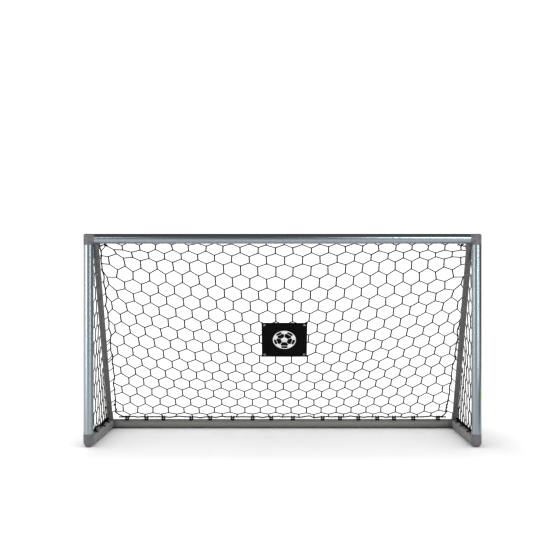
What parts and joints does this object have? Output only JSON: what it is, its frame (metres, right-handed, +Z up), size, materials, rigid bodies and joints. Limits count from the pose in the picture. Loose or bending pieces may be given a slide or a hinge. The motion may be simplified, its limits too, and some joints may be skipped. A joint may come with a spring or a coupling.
{
  "type": "soccer goal",
  "caption": "Free-standing garden soccer goal of round aluminium tubes with moulded corners, slanted rear stays and a clipped hexagonal net.",
  "frame": {"origin": "on the ground, in the middle of the footprint", "axes": "+X to the right as seen from the front, +Y to the rear, +Z up"},
  "size_m": [2.2002, 0.8, 1.178],
  "materials": {
    "anodised_tube": "anodised, fine extrusion lines, satin",
    "ground_tube": "anodised, satin",
    "stay_tube": "powder coated, satin",
    "corner_plastic": "moulded, fine grain",
    "inner_metal": "plain",
    "black_plastic": "moulded",
    "steel": "zinc plated",
    "net_cord": "braided",
    "netting": "knotless twisted cord",
    "sign_vinyl": "coated cloth with a sewn hem",
    "eyelet_metal": "pressed",
    "label_film": "printed film"
  },
  "bodies": {
    "frame": {"back_net": "netting", "crossbar_clips": "black_plastic", "crossbar_left_half": "anodised_tube", "crossbar_right_half": "anodised_tube", "crossbar_rope": "net_cord", "crossbar_sleeve": "inner_metal", "crossbar_sleeve_screws": "steel", "foot_corner_screws": "steel", "left_bar_clips": "black_plastic", "left_bar_rope": "net_cord", "left_button_guide": "black_plastic", "left_button_spring": "steel", "left_foot_corner": "corner_plastic", "left_ground_bar": "ground_tube", "left_post": "anodised_tube", "left_post_clips": "black_plastic", "left_post_rope": "net_cord", "left_rear_corner": "corner_plastic", "left_seam_cord": "net_cord", "left_side_net": "netting", "left_stay": "stay_tube", "left_stay_stub": "inner_metal", "left_top_corner": "corner_plastic", "post_label": "label_film", "rear_bar_clips": "black_plastic", "rear_bar_left_half": "ground_tube", "rear_bar_right_half": "ground_tube", "rear_bar_sleeve": "inner_metal", "rear_bar_sleeve_screws": "steel", "rear_corner_screws": "steel", "rear_rope": "net_cord", "right_bar_clips": "black_plastic", "right_bar_rope": "net_cord", "right_button_guide": "black_plastic", "right_button_spring": "steel", "right_foot_corner": "corner_plastic", "right_ground_bar": "ground_tube", "right_post": "anodised_tube", "right_post_clips": "black_plastic", "right_post_rope": "net_cord", "right_rear_corner": "corner_plastic", "right_seam_cord": "net_cord", "right_side_net": "netting", "right_stay": "stay_tube", "right_stay_stub": "inner_metal", "right_top_corner": "corner_plastic", "sign_eyelets": "eyelet_metal", "sign_panel": "sign_vinyl", "sign_ties": "net_cord", "stay_foot_screws": "steel", "top_corner_screws": "steel"},
    "left_button": {"left_snap_button": "steel"},
    "right_button": {"right_snap_button": "steel"}
  },
  "joints": [
    {"name": "left_button_press", "type": "slide", "parent": "frame", "child": "left_button", "axis": [-0.016, -0.8407, -0.5412], "range_m": [-0.004, 0], "stiffness_N_per_m": 600, "springref_m": 0.002, "deforming": ["left_button_spring"]},
    {"name": "right_button_press", "type": "slide", "parent": "frame", "child": "right_button", "axis": [0.016, -0.8407, -0.5412], "range_m": [-0.004, 0], "stiffness_N_per_m": 600, "springref_m": 0.002, "deforming": ["right_button_spring"]}
  ]
}
